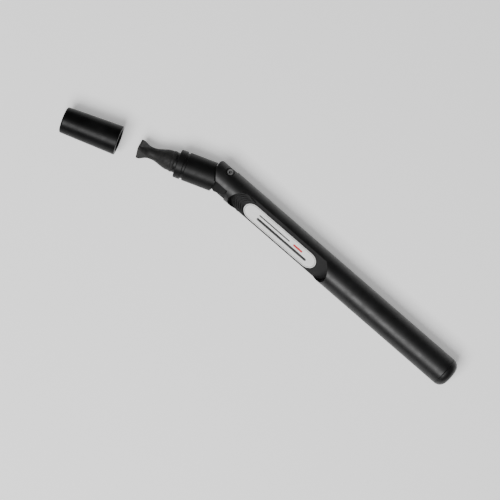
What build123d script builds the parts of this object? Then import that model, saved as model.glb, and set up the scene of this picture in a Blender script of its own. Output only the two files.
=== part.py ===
from build123d import *
import os
from math import acos, cos, degrees, radians, sin, sqrt

# Lens cleaning pen with a bending head and a pull-off cap. Millimetres and degrees.
#
# Row frame: the origin is the centre of the barrel's flat rear end. +X is the direction of the
# cleaning head's axis, towards the tip. +Z runs along the hinge pin. The barrel leans away from
# the head by REST_BEND, in the XY plane.
#
# Barrel frame: X runs along the barrel's axis from its rear end towards the hinge.
# Head frame: X runs along the head's axis, with zero level with the hinge pin.

# Hinge
REST_BEND = 20.0
PIN_X = 102.2
PIN_SIDE = 3.4
PIN_RADIUS = 0.75
PIN_HEAD_RADIUS = 1.2
PIN_HEAD_HEIGHT = 0.7
RUNNING_CLEARANCE = 0.04
POCKET_RADIUS = 1.6
POCKET_FLOOR = 2.3
NOSE_RADIUS = 4.85
NOSE_GAP = 0.42
SLOT_HALF = 1.8
TONGUE_HALF = 1.47
WASHER_RADIUS = 1.5
WASHER_THICKNESS = 0.28
BOSS_RADIUS = 1.5

# Barrel
BARREL_RADIUS = 5.2
CLEAR_OF_BARREL = BARREL_RADIUS + 0.8
BORE_RADIUS = 4.1
BORE_FRONT = 93.5
SEAM_X = 3.1
EAR_TOP = 4.95
EAR_LOWER_EDGE = 2.13
EAR_FRONT = 104.0
EAR_CORNER = 1.2
BEYOND_NOSE = PIN_X + 2 * NOSE_RADIUS
SLOT_END_LOWER = 97.9
SLOT_END_MIDDLE = 98.75
SLOT_END_UPPER = 100.2

# Flat on the barrel, its grip ridges and its label
FLAT_TILT = 45.0
FLAT_LEVEL = 2.11
FLAT_REAR = 54.2
FLAT_FRONT = 96.9
FLAT_HALF_WIDTH = 4.9
FLAT_WALL = 1.1
RIDGE_COUNT = 5
RIDGE_PITCH = 0.9
RIDGE_WIDTH = 0.42
RIDGE_HEIGHT = 0.3
LABEL_REAR = 59.8
LABEL_FRONT = 91.0
LABEL_WIDTH = 6.96
LABEL_SHIFT = 0.5
LABEL_THICKNESS = 0.15

# Head sleeve and tip holder
HEAD_RADIUS = 5.0
SLEEVE_BORE = 4.1
SLEEVE_FRONT = 14.9
PRESS_GAP = 0.02
PLUG_REAR = 6.3
PLUG_FRONT = 10.6
HOLDER_REAR = 11.2
COLLAR_REAR = 15.65
COLLAR_FRONT = 18.06
COLLAR_RADIUS = 5.0
GROOVE_RADIUS = 4.5
NECK_RADIUS = 3.58
NECK_FRONT = 18.9
POST_RADIUS = 1.3
POST_FRONT = 25.0

# Knuckle's heel and the hollow end of the sleeve
HEEL_REAR = -0.8
HEEL_FRONT = 3.2
HEEL_LOW = 4.6
SLEEVE_REAR = 2.0
EAR_SPACE_FRONT = 4.0
EAR_SPACE_EDGE = 1.35

# Rubber tip and its pad
STEM_FOOT_RADIUS = 3.5
BEAD_X = 19.6
BEAD_RADIUS = 3.7
BEAD_FRONT = 20.3
CONE_STATIONS = ((21.6, 3.45), (23.6, 2.9), (25.6, 2.27))
WAIST_X = 27.4
WAIST_RADIUS = 2.1
FLARE_STATIONS = ((28.6, 2.2, 1.95), (29.7, 2.62, 1.6), (30.6, 3.08, 1.15))
RIM_REAR = 31.2
PAD_REAR = 31.5
PAD_FRONT = 32.3
PAD_HALF_WIDTH = 3.3
PAD_CORNER = 0.85

# Cap
CAP_LENGTH = 20.2
CAP_MOUTH_RADIUS = 5.15
CAP_END_RADIUS = 4.6
CAP_BORE_RADIUS = 3.95
CAP_LIP_RADIUS = 3.85
CAP_BORE_DEPTH = 18.2
CAP_INSERT_LENGTH = 3.8
CAP_REST_X = 39.4

AXIS_ALONG_X = Rot(0, 90, 0)


def turned(*corners):
    """A solid of revolution about X, from corners given as (x, radius, rounding)."""
    points = [(x, radius) for x, radius, rounding in corners]
    roundings = [rounding for x, radius, rounding in corners]
    outline = FilletPolyline(*points, radius=roundings, close=True)
    return revolve(make_face(outline), Axis.X)


def rod(radius, start, end):
    """A round bar along X."""
    middle = (start + end) / 2
    return Pos(middle, 0, 0) * AXIS_ALONG_X * Cylinder(radius, end - start)


def slab(sketch, low, high):
    """A flat sketch in XY, made solid between two heights."""
    return Pos(0, 0, low) * extrude(sketch, high - low, dir=(0, 0, 1))


def hull(circle, *points):
    """The convex outline around a circle and some points."""
    corners = Polyline(*points, close=True)
    return make_hull(circle.edges() + corners.edges())


def rounded_triangle(half_width, corner):
    """A triangle with round corners, one side along Y and the opposite corner up in Z."""
    reach = (half_width - corner) * 2 / sqrt(3)
    centres = [Vector(reach * cos(radians(a)), reach * sin(radians(a))) for a in (0, 120, 240)]
    dots = [Pos(centre) * Circle(corner) for centre in centres]
    return make_hull([edge for dot in dots for edge in dot.edges()])


def across(x, sketch):
    """A sketch set square to the X axis, at x, with its own x axis pointing up."""
    return Plane(origin=(x, 0, 0), x_dir=(0, 0, 1), z_dir=(1, 0, 0)) * sketch


# ------------------------------------------------------------------ barrel frame

PIN_IN_BARREL = (PIN_X, -PIN_SIDE)
FLAT_PLANE = Plane(
    origin=(0, 0, 0),
    x_dir=(1, 0, 0),
    z_dir=(0, sin(radians(FLAT_TILT)), cos(radians(FLAT_TILT))),
)


def tangent_point(point):
    """Where a line from a point in front of the hinge touches the front of the ear's nose."""
    away = Vector(*point) - Vector(*PIN_IN_BARREL)
    opening = degrees(acos(NOSE_RADIUS / away.length))
    return Vector(*PIN_IN_BARREL) + away.normalized().rotate(Axis.Z, -opening) * NOSE_RADIUS


def nose_cut(*lower_points):
    """What an ear's outline leaves free in front: a round corner, the nose, then a lower edge."""
    pin = Vector(*PIN_IN_BARREL)
    corner_y = -EAR_TOP + EAR_CORNER
    corner_reach = sqrt((NOSE_RADIUS - EAR_CORNER) ** 2 - (corner_y + PIN_SIDE) ** 2)
    corner = Vector(PIN_X + corner_reach, corner_y)
    corner_end = pin + (corner - pin).normalized() * NOSE_RADIUS
    corner_middle = corner + Vector(1, -1).normalized() * EAR_CORNER
    touch = tangent_point(lower_points[0])
    nose_middle = pin + (corner_end + touch - 2 * pin).normalized() * NOSE_RADIUS
    corner_start = Vector(corner.X, -EAR_TOP)
    outline = ThreePointArc(corner_start, corner_middle, corner_end)
    outline += ThreePointArc(corner_end, nose_middle, touch)
    outline += Polyline(
        touch,
        *lower_points,
        (BEYOND_NOSE, CLEAR_OF_BARREL),
        (BEYOND_NOSE, -CLEAR_OF_BARREL),
        (corner.X, -CLEAR_OF_BARREL),
        corner_start,
    )
    return make_face(outline)


def flat_cut():
    length = FLAT_FRONT - FLAT_REAR
    middle = (FLAT_FRONT + FLAT_REAR) / 2
    stadium = SlotOverall(length, 2 * FLAT_HALF_WIDTH)
    return FLAT_PLANE * Pos(middle, 0, FLAT_LEVEL) * extrude(stadium, BARREL_RADIUS)


def label_outline(margin=0.0):
    stadium = SlotOverall(LABEL_FRONT - LABEL_REAR + 2 * margin, LABEL_WIDTH + 2 * margin)
    return Pos((LABEL_FRONT + LABEL_REAR) / 2, LABEL_SHIFT) * stadium


def grip_ridges():
    """Curved ridges on the flat, between its front wall and the label."""
    ridges = []
    for number in range(1, RIDGE_COUNT + 1):
        radius = FLAT_HALF_WIDTH - 0.2 * number
        centre = FLAT_FRONT - RIDGE_PITCH * number - radius
        ring = Circle(radius) - Circle(radius - RIDGE_WIDTH)
        front_half = Pos(radius * 0.6, 0) * Rectangle(radius, 3 * radius)
        ridges.append(Pos(centre, 0) * (ring & front_half) - label_outline(0.3))
    bands = extrude(Sketch() + ridges, RIDGE_HEIGHT + 0.1)
    return FLAT_PLANE * Pos(0, 0, FLAT_LEVEL - 0.1) * bands & rod(BARREL_RADIUS, LABEL_REAR, FLAT_FRONT)


def barrel():
    body = turned(
        (SEAM_X, 0, 0),
        (SEAM_X, BARREL_RADIUS, 0.2),
        (BEYOND_NOSE - 1, BARREL_RADIUS, 0),
        (BEYOND_NOSE - 1, 0, 0),
    )
    near_cut = nose_cut(
        (EAR_FRONT, EAR_LOWER_EDGE),
        (SLOT_END_MIDDLE, EAR_LOWER_EDGE),
        (SLOT_END_LOWER, CLEAR_OF_BARREL),
    )
    far_cut = nose_cut((EAR_FRONT - 0.45, EAR_LOWER_EDGE + 0.15), (EAR_FRONT - 1.6, CLEAR_OF_BARREL))
    body -= slab(near_cut, SLOT_HALF - 0.5, CLEAR_OF_BARREL)
    body -= slab(far_cut, -CLEAR_OF_BARREL, 0.5 - SLOT_HALF)
    slot = make_face(Polyline(
        (SLOT_END_LOWER, CLEAR_OF_BARREL),
        (SLOT_END_MIDDLE, EAR_LOWER_EDGE),
        (SLOT_END_UPPER, -PIN_SIDE + BOSS_RADIUS),
        (SLOT_END_UPPER, -CLEAR_OF_BARREL),
        (BEYOND_NOSE, -CLEAR_OF_BARREL),
        (BEYOND_NOSE, CLEAR_OF_BARREL),
        close=True,
    ))
    body -= slab(slot, -SLOT_HALF, SLOT_HALF)

    pin_line = Pos(*PIN_IN_BARREL, 0)
    body -= pin_line * Cylinder(PIN_RADIUS, 3 * BARREL_RADIUS)
    pocket = Cylinder(POCKET_RADIUS, BARREL_RADIUS)
    for side in (-1, 1):
        body -= pin_line * Pos(0, 0, side * (POCKET_FLOOR + BARREL_RADIUS / 2)) * pocket

    bore = rod(BORE_RADIUS, 0, BORE_FRONT)
    thick_wall = FLAT_PLANE * Pos(FLAT_FRONT, 0, FLAT_LEVEL - FLAT_WALL + BORE_RADIUS)
    bore -= thick_wall * Box(2 * (FLAT_FRONT - FLAT_REAR + 4), 4 * BORE_RADIUS, 2 * BORE_RADIUS)
    return body - bore - flat_cut() + grip_ridges()


def rear_plug():
    spigot = BORE_RADIUS - PRESS_GAP
    wall = spigot - 0.9
    return turned(
        (0, 0, 0),
        (0, BARREL_RADIUS, 2.9),
        (SEAM_X - 0.02, BARREL_RADIUS, 0.15),
        (SEAM_X - 0.02, spigot, 0),
        (SEAM_X + 6.5, spigot, 0.3),
        (SEAM_X + 6.5, wall, 0),
        (SEAM_X - 0.6, wall, 0.4),
        (SEAM_X - 0.6, 0, 0),
    )


def label():
    sticker = extrude(label_outline(), LABEL_THICKNESS)
    return FLAT_PLANE * Pos(0, 0, FLAT_LEVEL) * sticker


def hinge_pin():
    """Shaft with a flat, dimpled head at the near ear."""
    shaft_end = -POCKET_FLOOR - 0.5
    shaft = Pos(0, 0, (POCKET_FLOOR + shaft_end) / 2) * Cylinder(PIN_RADIUS, POCKET_FLOOR - shaft_end)
    head = Pos(0, 0, POCKET_FLOOR + PIN_HEAD_HEIGHT / 2) * Cylinder(PIN_HEAD_RADIUS, PIN_HEAD_HEIGHT)
    head = chamfer(head.edges().group_by(Axis.Z)[-1], 0.18)
    dimple = Pos(0, 0, POCKET_FLOOR + PIN_HEAD_HEIGHT) * Sphere(0.45)
    return Pos(*PIN_IN_BARREL, 0) * (shaft + head - dimple)


def pin_retainer():
    """Ring pressed on the pin's far end."""
    ring = Cylinder(PIN_HEAD_RADIUS, PIN_HEAD_HEIGHT)
    ring = chamfer(ring.edges().group_by(Axis.Z)[0], 0.18)
    ring -= Cylinder(PIN_RADIUS, 2 * PIN_HEAD_HEIGHT)
    return Pos(*PIN_IN_BARREL, -POCKET_FLOOR - PIN_HEAD_HEIGHT / 2) * ring


def friction_washers():
    """Two thin washers, one each side of the knuckle's tongue."""
    washer = Cylinder(WASHER_RADIUS, WASHER_THICKNESS)
    washer -= Cylinder(PIN_RADIUS + RUNNING_CLEARANCE, WASHER_THICKNESS)
    height = (SLOT_HALF + TONGUE_HALF) / 2
    return Compound([Pos(*PIN_IN_BARREL, side * height) * washer for side in (-1, 1)])


# ------------------------------------------------------------------ head frame

PIN_IN_HEAD = (0, -PIN_SIDE)


def knuckle():
    """Tongue that turns on the pin, with a round plug that fills the rear of the sleeve."""
    eye = Pos(*PIN_IN_HEAD) * Circle(BOSS_RADIUS)
    shank = sqrt((SLEEVE_BORE - PRESS_GAP) ** 2 - TONGUE_HALF**2) - PRESS_GAP
    tongue = hull(
        eye,
        (HEEL_REAR + 0.05, 2.4),
        (HEEL_REAR, HEEL_LOW - 0.7),
        (HEEL_REAR + 0.7, HEEL_LOW),
        (HEEL_FRONT, HEEL_LOW),
        (HEEL_FRONT + 1.1, shank),
        (HEEL_FRONT + 1.1, -shank),
    )
    tongue += Pos((HEEL_FRONT + PLUG_REAR) / 2, 0) * Rectangle(PLUG_REAR - HEEL_FRONT, 2 * shank)
    hole = Pos(*PIN_IN_HEAD) * Circle(PIN_RADIUS + RUNNING_CLEARANCE)
    plate = slab(tongue - hole, -TONGUE_HALF, TONGUE_HALF)
    plate &= rod(HEAD_RADIUS, -3, PLUG_REAR)
    plug = turned(
        (PLUG_REAR, 0, 0),
        (PLUG_REAR, SLEEVE_BORE - PRESS_GAP, 0.2),
        (PLUG_FRONT, SLEEVE_BORE - PRESS_GAP, 0.3),
        (PLUG_FRONT, 0, 0),
    )
    return plate + plug


def head_sleeve():
    """Tube whose rear end is hollowed to follow the ears' noses."""
    tube = turned(
        (SLEEVE_REAR, SLEEVE_BORE, 0),
        (SLEEVE_REAR, HEAD_RADIUS, 0),
        (SLEEVE_FRONT, HEAD_RADIUS, 0.3),
        (SLEEVE_FRONT, SLEEVE_BORE, 0),
    )
    clearance = Pos(*PIN_IN_HEAD) * Circle(NOSE_RADIUS + NOSE_GAP)
    ear_space = hull(clearance, (EAR_SPACE_FRONT, EAR_SPACE_EDGE), (-2, EAR_SPACE_EDGE))
    lower_end = Line((-2, 1.2), (3.7, 1.2)) + ThreePointArc((3.7, 1.2), (3.95, 3.4), (4.8, 5.3))
    lower_end += Line((4.8, 5.3), (-2, 5.3)) + Line((-2, 5.3), (-2, 1.2))
    rear_cut = ear_space + make_face(lower_end)
    return tube - slab(rear_cut, -2 * HEAD_RADIUS, 2 * HEAD_RADIUS)


def tip_holder():
    """Collar with a groove behind it, a neck for the cap and a post for the rubber tip."""
    spigot = SLEEVE_BORE - PRESS_GAP
    return turned(
        (HOLDER_REAR, 0, 0),
        (HOLDER_REAR, spigot, 0.3),
        (SLEEVE_FRONT + 0.02, spigot, 0),
        (SLEEVE_FRONT + 0.02, GROOVE_RADIUS, 0),
        (COLLAR_REAR, GROOVE_RADIUS, 0),
        (COLLAR_REAR, COLLAR_RADIUS, 0.2),
        (COLLAR_FRONT, COLLAR_RADIUS, 0.35),
        (COLLAR_FRONT, NECK_RADIUS, 0.1),
        (NECK_FRONT, NECK_RADIUS, 0),
        (NECK_FRONT, POST_RADIUS, 0),
        (POST_FRONT, POST_RADIUS, 0.5),
        (POST_FRONT, 0, 0),
    )


def tip_stem():
    """Rubber tip: a bead that holds the cap, a cone, a waist and a flare to the pad."""
    start = NECK_FRONT + 0.02
    bore = POST_RADIUS + PRESS_GAP
    bore_end = POST_FRONT + 0.3
    foot = (start, STEM_FOOT_RADIUS)
    bead_end = (BEAD_FRONT, STEM_FOOT_RADIUS)
    waist = (WAIST_X, WAIST_RADIUS)
    outline = Polyline((WAIST_X, 0), (bore_end, 0), (bore_end, bore), (start, bore), foot)
    outline += ThreePointArc(foot, (BEAD_X, BEAD_RADIUS), bead_end)
    outline += Spline(bead_end, *CONE_STATIONS, waist, tangents=[(1, 0.02), (1, 0)])
    outline += Line(waist, (WAIST_X, 0))
    cone = revolve(make_face(outline), Axis.X)
    rim_outline = across(RIM_REAR, rounded_triangle(PAD_HALF_WIDTH, PAD_CORNER))
    sections = [across(WAIST_X, rounded_triangle(WAIST_RADIUS, WAIST_RADIUS - 0.05))]
    sections += [across(x, rounded_triangle(half, corner)) for x, half, corner in FLARE_STATIONS]
    flare = loft(sections + [rim_outline])
    rim = extrude(rim_outline, PAD_REAR - RIM_REAR)
    return cone + flare + rim


def tip_pad():
    pad = extrude(across(PAD_REAR, rounded_triangle(PAD_HALF_WIDTH, PAD_CORNER)), PAD_FRONT - PAD_REAR)
    return fillet(pad.edges().group_by(Axis.X)[-1], 0.2)


def cap_shell():
    """Tapered cap with a snap lip near its mouth."""
    return turned(
        (0, CAP_BORE_RADIUS + 0.15, 0),
        (0, CAP_MOUTH_RADIUS, 0.25),
        (CAP_LENGTH, CAP_END_RADIUS, 0.6),
        (CAP_LENGTH, 0, 0),
        (CAP_BORE_DEPTH, 0, 0),
        (CAP_BORE_DEPTH, CAP_BORE_RADIUS, 0.3),
        (1.0, CAP_BORE_RADIUS, 0),
        (0.7, CAP_LIP_RADIUS, 0),
        (0.5, CAP_LIP_RADIUS, 0),
        (0.3, CAP_BORE_RADIUS, 0),
    )


def cap_insert():
    """Round block of cleaning compound at the bottom of the cap."""
    radius = CAP_BORE_RADIUS - 0.2
    return turned(
        (CAP_BORE_DEPTH - CAP_INSERT_LENGTH, 0, 0),
        (CAP_BORE_DEPTH - CAP_INSERT_LENGTH, radius, 0.4),
        (CAP_BORE_DEPTH - 0.02, radius, 0.4),
        (CAP_BORE_DEPTH - 0.02, 0, 0),
    )


# ------------------------------------------------------------------ assembly

TURN_BARREL = Rot(0, 0, -REST_BEND)
PIN_IN_ROW = (TURN_BARREL * Pos(*PIN_IN_BARREL, 0)).position
HEAD_PLACE = Pos(PIN_IN_ROW.X, PIN_IN_ROW.Y + PIN_SIDE, 0)
CAP_PLACE = HEAD_PLACE * Pos(CAP_REST_X, 0, 0)

NODES = {
    "barrel": TURN_BARREL * barrel(),
    "rear_plug": TURN_BARREL * rear_plug(),
    "label": TURN_BARREL * label(),
    "hinge_pin": TURN_BARREL * hinge_pin(),
    "pin_retainer": TURN_BARREL * pin_retainer(),
    "friction_washers": TURN_BARREL * friction_washers(),
    "knuckle": HEAD_PLACE * knuckle(),
    "head_sleeve": HEAD_PLACE * head_sleeve(),
    "tip_holder": HEAD_PLACE * tip_holder(),
    "tip_stem": HEAD_PLACE * tip_stem(),
    "tip_pad": HEAD_PLACE * tip_pad(),
    "cap_shell": CAP_PLACE * cap_shell(),
    "cap_insert": CAP_PLACE * cap_insert(),
}

os.makedirs("parts", exist_ok=True)
for name, shape in NODES.items():
    export_step(shape, f"parts/{name}.step")

print("hinge pin at", [round(value, 4) for value in PIN_IN_ROW])
print("cap mouth at", [round(value, 4) for value in CAP_PLACE.position])
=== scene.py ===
from math import cos, hypot, pi, radians, sin, sqrt

import bmesh
import bpy
from mathutils import Matrix, Vector


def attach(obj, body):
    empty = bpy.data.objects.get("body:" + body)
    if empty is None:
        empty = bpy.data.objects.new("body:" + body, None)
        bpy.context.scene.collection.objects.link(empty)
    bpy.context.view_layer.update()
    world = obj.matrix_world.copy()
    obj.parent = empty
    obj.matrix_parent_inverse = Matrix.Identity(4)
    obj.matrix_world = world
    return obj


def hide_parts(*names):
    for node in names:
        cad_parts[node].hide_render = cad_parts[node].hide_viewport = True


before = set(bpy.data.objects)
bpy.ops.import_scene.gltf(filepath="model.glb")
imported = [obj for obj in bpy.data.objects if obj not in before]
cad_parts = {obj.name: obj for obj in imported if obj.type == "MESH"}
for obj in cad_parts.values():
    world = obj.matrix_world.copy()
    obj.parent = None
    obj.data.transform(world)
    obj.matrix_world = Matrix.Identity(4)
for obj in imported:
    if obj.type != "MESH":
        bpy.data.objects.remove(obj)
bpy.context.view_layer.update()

MM = 0.001

# The part's own lengths, in millimetres. HEAD and CAP values are places in the row frame. Pad and
# insert values run forward from HEAD_X and CAP_X. Label values are along and across the barrel.
BARREL_TURN = Matrix.Rotation(radians(-20), 3, "Z")
HEAD_X = 94.8737
HEAD_Y = -34.7494
CAP_X = 134.2737
FLOOR_Z = -5.2

# Label and its printing
FLAT_LEVEL = 2.11
LABEL_THICKNESS = 0.15
LABEL_MIDDLE = 75.4
LABEL_SHIFT = 0.5
LABEL_LENGTH = 31.2
LABEL_WIDTH = 6.96
INK_FOOT = -0.02
MARK_LAYERS = ((0.0, INK_FOOT), (0.0, 0.012), (0.03, 0.02))
BORDER_INSET = 0.32
BORDER_WIDTH = 0.13
BORDER_HEIGHT = 0.015

# Pad: layers are (scale of the outline, rise from the pad's rear)
PAD_REAR = 31.5
PAD_FRONT = 32.3
PAD_HALF_WIDTH = 3.3
PAD_CORNER = 0.85
PAD_SIDE_LAYERS = ((1.0, 0.0), (1.012, 0.2), (1.012, 0.42))
PAD_EDGE_ANGLES = (30, 60, 85)
PAD_EDGE_INSET = 0.055
PAD_EDGE_RISE = 0.3
PAD_FACE_SCALES = (0.85, 0.7, 0.52, 0.34, 0.16, 0.05)
PAD_DOME_FOOT = 0.09
PAD_DOME = 0.1
PAD_WAVE = 0.018
PAD_WAVE_STARTS = 0.5

# Cap's insert: face rings are (radius, drop from the face)
INSERT_FRONT = 14.4
INSERT_REAR = 18.18
INSERT_REAR_RADIUS = 3.3
INSERT_RADIUS = 3.75
INSERT_EDGE = 0.4
INSERT_FACE_RINGS = ((INSERT_RADIUS, 0.28), (3.62, 0.09)) + tuple(
    (radius, 0.02) for radius in (3.4, 3.1, 2.7, 2.2, 1.6, 1.0, 0.4)
)
DENT_DEPTH = 0.16
DENT_RADIUS = 3.0
INSERT_WAVE = 0.015


# ------------------------------------------------------------------ materials


class Finish:
    """A procedural material: grain, mottling and uneven sheen, all in object coordinates."""

    def __init__(self, name):
        self.material = bpy.data.materials.new(name)
        self.material.use_nodes = True
        self.nodes = self.material.node_tree.nodes
        self.links = self.material.node_tree.links
        self.shader = self.nodes["Principled BSDF"]
        self.coords = self.nodes.new("ShaderNodeTexCoord").outputs["Object"]

    def noise(self, scale, detail, stretch=(1, 1, 1)):
        mapping = self.nodes.new("ShaderNodeMapping")
        mapping.inputs["Scale"].default_value = stretch
        texture = self.nodes.new("ShaderNodeTexNoise")
        texture.inputs["Scale"].default_value = scale
        texture.inputs["Detail"].default_value = detail
        self.links.new(self.coords, mapping.inputs["Vector"])
        self.links.new(mapping.outputs["Vector"], texture.inputs["Vector"])
        return texture.outputs["Fac"]

    def colour(self, factor, low, high):
        ramp = self.nodes.new("ShaderNodeValToRGB")
        for element, position, value in zip(ramp.color_ramp.elements, (0.35, 0.68), (low, high)):
            element.position = position
            element.color = (*value, 1)
        self.links.new(factor, ramp.inputs["Fac"])
        self.links.new(ramp.outputs["Color"], self.shader.inputs["Base Color"])

    def roughness(self, factor, low, high):
        spread = self.nodes.new("ShaderNodeMapRange")
        spread.inputs["From Min"].default_value = 0.3
        spread.inputs["From Max"].default_value = 0.7
        spread.inputs["To Min"].default_value = low
        spread.inputs["To Max"].default_value = high
        self.links.new(factor, spread.inputs["Value"])
        self.links.new(spread.outputs["Result"], self.shader.inputs["Roughness"])

    def bump(self, factor, depth_mm, strength):
        bump = self.nodes.new("ShaderNodeBump")
        bump.inputs["Strength"].default_value = strength
        bump.inputs["Distance"].default_value = depth_mm * MM
        self.links.new(factor, bump.inputs["Height"])
        self.links.new(bump.outputs["Normal"], self.shader.inputs["Normal"])

    def constant(self, **values):
        for name, value in values.items():
            self.shader.inputs[name.replace("_", " ")].default_value = value


def moulded(name, dark, light, smooth, rough, grain_mm, gleam):
    """Moulded plastic with a fine spark-eroded grain and faint handling marks."""
    finish = Finish(name)
    finish.colour(finish.noise(140, 5), (dark,) * 3, (light, light, light * 1.04))
    finish.roughness(finish.noise(420, 6), smooth, rough)
    finish.bump(finish.noise(5200, 2), grain_mm, 0.5)
    finish.constant(IOR=1.42, Specular_IOR_Level=gleam)
    return finish.material


def rubber(name):
    finish = Finish(name)
    finish.colour(finish.noise(700, 6), (0.006,) * 3, (0.018, 0.0175, 0.017))
    finish.roughness(finish.noise(900, 4), 0.5, 0.72)
    finish.bump(finish.noise(3800, 3), 0.02, 0.5)
    finish.constant(IOR=1.5, Specular_IOR_Level=0.25, Sheen_Weight=0.05)
    return finish.material


def cloth(name, dark, light, nap_mm):
    """Suede or felt: a deep uneven nap with a soft sheen."""
    finish = Finish(name)
    finish.colour(finish.noise(2600, 8), dark, light)
    finish.roughness(finish.noise(1500, 3), 0.85, 1.0)
    finish.bump(finish.noise(5200, 8), nap_mm, 0.9)
    finish.constant(IOR=1.4, Specular_IOR_Level=0.2, Sheen_Weight=0.12)
    return finish.material


def steel(name, dark, light):
    """Turned steel with fine marks."""
    finish = Finish(name)
    finish.colour(finish.noise(900, 5), (dark,) * 3, (light,) * 3)
    finish.roughness(finish.noise(2400, 4, (1, 1, 6)), 0.25, 0.48)
    finish.bump(finish.noise(6000, 2, (1, 1, 4)), 0.004, 0.4)
    finish.constant(Metallic=1.0)
    return finish.material


def film(name, low, high):
    """Printed film with a slight unevenness from the adhesive under it."""
    finish = Finish(name)
    finish.colour(finish.noise(260, 4), low, high)
    finish.roughness(finish.noise(500, 3), 0.3, 0.46)
    finish.bump(finish.noise(700, 2), 0.012, 0.4)
    finish.constant(IOR=1.46)
    return finish.material


BARREL = moulded("satin_barrel", 0.005, 0.010, 0.36, 0.48, 0.010, 0.45)
PLUG = moulded("satin_plug", 0.005, 0.010, 0.34, 0.46, 0.010, 0.42)
KNUCKLE = moulded("knuckle_grain", 0.004, 0.009, 0.42, 0.55, 0.012, 0.25)
SLEEVE = moulded("sleeve_sheen", 0.004, 0.008, 0.36, 0.46, 0.008, 0.18)
HOLDER = moulded("holder_sheen", 0.004, 0.008, 0.36, 0.46, 0.008, 0.2)
CAP = moulded("cap_sheen", 0.003, 0.007, 0.30, 0.40, 0.006, 0.15)
LABEL = film("label_white", (0.74, 0.74, 0.73), (0.86, 0.86, 0.85))
DARK_INK = film("dark_ink", (0.018,) * 3, (0.032,) * 3)
RED_INK = film("red_ink", (0.46, 0.012, 0.02), (0.60, 0.02, 0.03))
SUEDE = cloth("suede_nap", (0.012, 0.012, 0.012), (0.05, 0.048, 0.047), 0.07)
FELT = cloth("felt_nap", (0.012, 0.012, 0.013), (0.045, 0.044, 0.045), 0.10)

FINISHES = {
    "barrel": BARREL,
    "rear_plug": PLUG,
    "label": LABEL,
    "hinge_pin": steel("dark_pin", 0.05, 0.12),
    "pin_retainer": steel("dark_retainer", 0.05, 0.12),
    "friction_washers": steel("bright_washers", 0.45, 0.62),
    "knuckle": KNUCKLE,
    "head_sleeve": SLEEVE,
    "tip_holder": HOLDER,
    "tip_stem": rubber("tip_rubber"),
    "tip_pad": rubber("hidden_pad"),
    "cap_shell": CAP,
    "cap_insert": rubber("hidden_insert"),
}

for node, finish in FINISHES.items():
    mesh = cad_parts[node].data
    if not mesh.materials:
        mesh.materials.append(finish)
    for index in range(len(mesh.materials)):
        mesh.materials[index] = finish


# ------------------------------------------------------------------ meshes


def piece(name, rings, body, material, ends=True):
    """A mesh lofted through rings of points in millimetres, closed by fans or joined end to start."""
    built = bmesh.new()
    rows = [[built.verts.new(Vector(point) * MM) for point in ring] for ring in rings]
    count = len(rings[0])
    pairs = list(zip(rows, rows[1:])) if ends else list(zip(rows, rows[1:] + rows[:1]))
    for low, high in pairs:
        for i in range(count):
            j = (i + 1) % count
            built.faces.new((low[i], low[j], high[j], high[i]))
    if ends:
        for row in (rows[0], rows[-1]):
            middle = built.verts.new(sum((vert.co for vert in row), Vector()) / count)
            for i in range(count):
                built.faces.new((row[i], row[(i + 1) % count], middle))
    bmesh.ops.recalc_face_normals(built, faces=built.faces)
    mesh = bpy.data.meshes.new(name)
    built.to_mesh(mesh)
    built.free()
    mesh.polygons.foreach_set("use_smooth", [True] * len(mesh.polygons))
    mesh.materials.append(material)
    item = bpy.data.objects.new(name, mesh)
    bpy.context.scene.collection.objects.link(item)
    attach(item, body)
    return item


def stadium(length, width, steps=20):
    """Points round a bar with half-round ends, centred on the origin."""
    radius = width / 2
    reach = length / 2 - radius
    points = []
    for side in (1, -1):
        for step in range(steps + 1):
            angle = pi * step / steps - pi / 2
            points.append((side * (reach + radius * cos(angle)), side * radius * sin(angle)))
    return points


def on_label(x, y, height):
    """A point on the label's face, from its middle, as a place in the row frame."""
    lean = sqrt(0.5)
    level = FLAT_LEVEL + LABEL_THICKNESS + height
    across = LABEL_SHIFT + y
    return BARREL_TURN @ Vector((LABEL_MIDDLE + x, (across + level) * lean, (level - across) * lean))


def mark(name, middle, length, width, ink):
    """A low printed bar on the label."""
    x, y = middle
    rings = [
        [on_label(x + u, y + v, height) for u, v in stadium(length - 2 * inset, width - 2 * inset)]
        for inset, height in MARK_LAYERS
    ]
    piece(name, rings, "barrel", ink)


def border(name, inset, width):
    """A printed line just inside the label's edge."""
    outer = stadium(LABEL_LENGTH - 2 * inset, LABEL_WIDTH - 2 * inset, 40)
    inner = stadium(LABEL_LENGTH - 2 * (inset + width), LABEL_WIDTH - 2 * (inset + width), 40)
    layers = ((outer, INK_FOOT), (outer, BORDER_HEIGHT), (inner, BORDER_HEIGHT), (inner, INK_FOOT))
    rings = [[on_label(u, v, height) for u, v in outline] for outline, height in layers]
    piece(name, rings, "barrel", DARK_INK, ends=False)


def triangle(scale, steps=12, side_steps=10):
    """Points (y, z) round the pad's outline, one corner up."""
    reach = (PAD_HALF_WIDTH - PAD_CORNER) * 2 / sqrt(3)
    arcs = []
    for turn in (0, 120, 240):
        for step in range(steps + 1):
            angle = radians(turn - 60 + 120 * step / steps)
            along = reach * cos(radians(turn)) + PAD_CORNER * cos(angle)
            aside = reach * sin(radians(turn)) + PAD_CORNER * sin(angle)
            arcs.append((-aside * scale, along * scale))
    points = []
    for index, (y, z) in enumerate(arcs):
        points.append((y, z))
        if index % (steps + 1) == steps:
            next_y, next_z = arcs[(index + 1) % len(arcs)]
            for step in range(1, side_steps):
                part = step / side_steps
                points.append((y + (next_y - y) * part, z + (next_z - z) * part))
    return points


def unevenness(y, z):
    """A small, repeatable waviness."""
    return 0.5 * sin(2.3 * y + 0.7) * cos(1.9 * z - 0.4) + 0.5 * sin(4.1 * z + 1.3 * y)


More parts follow.
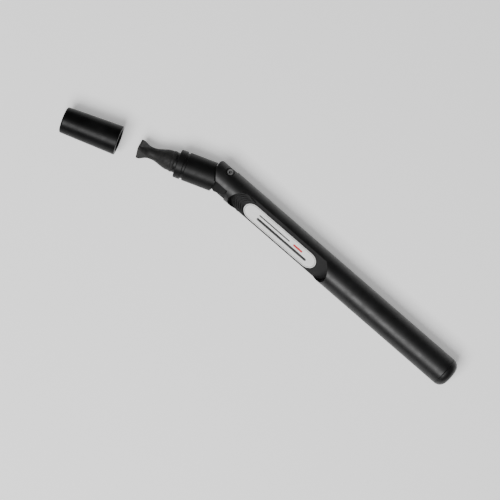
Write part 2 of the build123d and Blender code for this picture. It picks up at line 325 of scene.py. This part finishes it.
def suede_pad():
    """Pad with a slightly bulging side, a rounded edge and a shallow dome."""
    edge_foot = PAD_REAR + PAD_SIDE_LAYERS[-1][1]
    layers = [(scale, PAD_REAR + rise) for scale, rise in PAD_SIDE_LAYERS]
    for angle in PAD_EDGE_ANGLES:
        turn = radians(angle)
        layers.append((1.0 - PAD_EDGE_INSET * (1 - cos(turn)), edge_foot + PAD_EDGE_RISE * sin(turn)))
    for scale in PAD_FACE_SCALES:
        layers.append((scale, PAD_FRONT - PAD_DOME_FOOT + PAD_DOME * (1 - scale**2)))
    rings = []
    for scale, x in layers:
        wave = PAD_WAVE if x > PAD_REAR + PAD_WAVE_STARTS else 0.0
        rings.append([
            (HEAD_X + x + wave * unevenness(y, z), HEAD_Y + y, z) for y, z in triangle(scale)
        ])
    return piece("suede_pad", rings, "head", SUEDE)


def circle(radius, steps=72):
    """Points (y, z) round a circle."""
    angles = [2 * pi * step / steps for step in range(steps)]
    return [(radius * cos(angle), radius * sin(angle)) for angle in angles]


def felt_insert():
    """Block of cleaning felt with a shallow hollow in its face."""
    rings = []
    for radius, x in ((INSERT_REAR_RADIUS, INSERT_REAR), (INSERT_RADIUS, INSERT_REAR - INSERT_EDGE)):
        rings.append([(CAP_X + x, HEAD_Y + y, z) for y, z in circle(radius)])
    for radius, drop in INSERT_FACE_RINGS:
        ring = []
        for y, z in circle(radius):
            dent = DENT_DEPTH * max(0.0, 1 - (hypot(y, z) / DENT_RADIUS) ** 2)
            x = INSERT_FRONT + drop + dent + INSERT_WAVE * unevenness(y, z)
            ring.append((CAP_X + x, HEAD_Y + y, z))
        rings.append(ring)
    return piece("felt_insert", rings, "cap", FELT)


pad = suede_pad()
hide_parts("tip_pad")

insert = felt_insert()
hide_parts("cap_insert")

border("label_border", BORDER_INSET, BORDER_WIDTH)
mark("label_bar_long", (-1.2, 0.75), 22.0, 1.15, DARK_INK)
mark("label_bar_short", (3.0, -1.15), 13.6, 0.6, DARK_INK)
mark("label_accent", (-7.4, -1.15), 4.0, 0.9, RED_INK)


# ------------------------------------------------------------------ studio

AIM = Vector((79.23, -15.90, 0)) * MM
IMAGE_RIGHT = Vector((-0.9340, -0.3573, 0))
IMAGE_UP = Vector((0.3573, -0.9340, 0))
CAMERA_HEIGHT = 0.568
LENS = 120
SENSOR_WIDTH = 36
FLOOR_HALF = 3.0
FLOOR_GLOW = 0.35
WORLD_GLOW = 0.05

# name, direction from the aim point, distance, width and height in metres, power in watts
LIGHTS = (
    ("key", (0.176, 0.484, 0.857), 0.75, 0.46, 0.36, 7.4),
    ("top", (0.05, 0.10, 1.0), 1.4, 0.7, 0.7, 2.6),
    ("rim", (-0.33, -0.90, 0.10), 0.9, 0.6, 0.10, 0.4),
)


def floor():
    mesh = bpy.data.meshes.new("studio_floor")
    corners = [
        (AIM.x + x * FLOOR_HALF, AIM.y + y * FLOOR_HALF, FLOOR_Z * MM)
        for x, y in ((-1, -1), (1, -1), (1, 1), (-1, 1))
    ]
    mesh.from_pydata(corners, [], [(0, 1, 2, 3)])
    paper = Finish("floor_paper")
    paper.colour(paper.noise(3, 2), (0.90, 0.90, 0.90), (0.93, 0.93, 0.93))
    paper.roughness(paper.noise(20, 2), 0.85, 0.95)
    paper.constant(Emission_Color=(1, 1, 1, 1), Emission_Strength=FLOOR_GLOW)
    mesh.materials.append(paper.material)
    item = bpy.data.objects.new("studio_floor", mesh)
    bpy.context.scene.collection.objects.link(item)
    return item


def softbox(name, toward, distance, width, height, power):
    """A soft light in a direction from the aim point, facing it."""
    data = bpy.data.lights.new(name, "AREA")
    data.shape = "RECTANGLE"
    data.size, data.size_y, data.energy = width, height, power
    item = bpy.data.objects.new(name, data)
    direction = Vector(toward).normalized()
    item.location = AIM + direction * distance
    item.rotation_euler = direction.to_track_quat("Z", "Y").to_euler()
    bpy.context.scene.collection.objects.link(item)


floor()
for light in LIGHTS:
    softbox(*light)

world = bpy.data.worlds.new("studio")
world.use_nodes = True
world.node_tree.nodes["Background"].inputs["Color"].default_value = (1, 1, 1, 1)
world.node_tree.nodes["Background"].inputs["Strength"].default_value = WORLD_GLOW
bpy.context.scene.world = world

camera_data = bpy.data.cameras.new("camera")
camera_data.lens = LENS
camera_data.sensor_width = SENSOR_WIDTH
camera = bpy.data.objects.new("camera", camera_data)
turn = Matrix((IMAGE_RIGHT, IMAGE_UP, Vector((0, 0, 1)))).transposed().to_4x4()
camera.matrix_world = Matrix.Translation(AIM + Vector((0, 0, CAMERA_HEIGHT))) @ turn
bpy.context.scene.collection.objects.link(camera)
bpy.context.scene.camera = camera
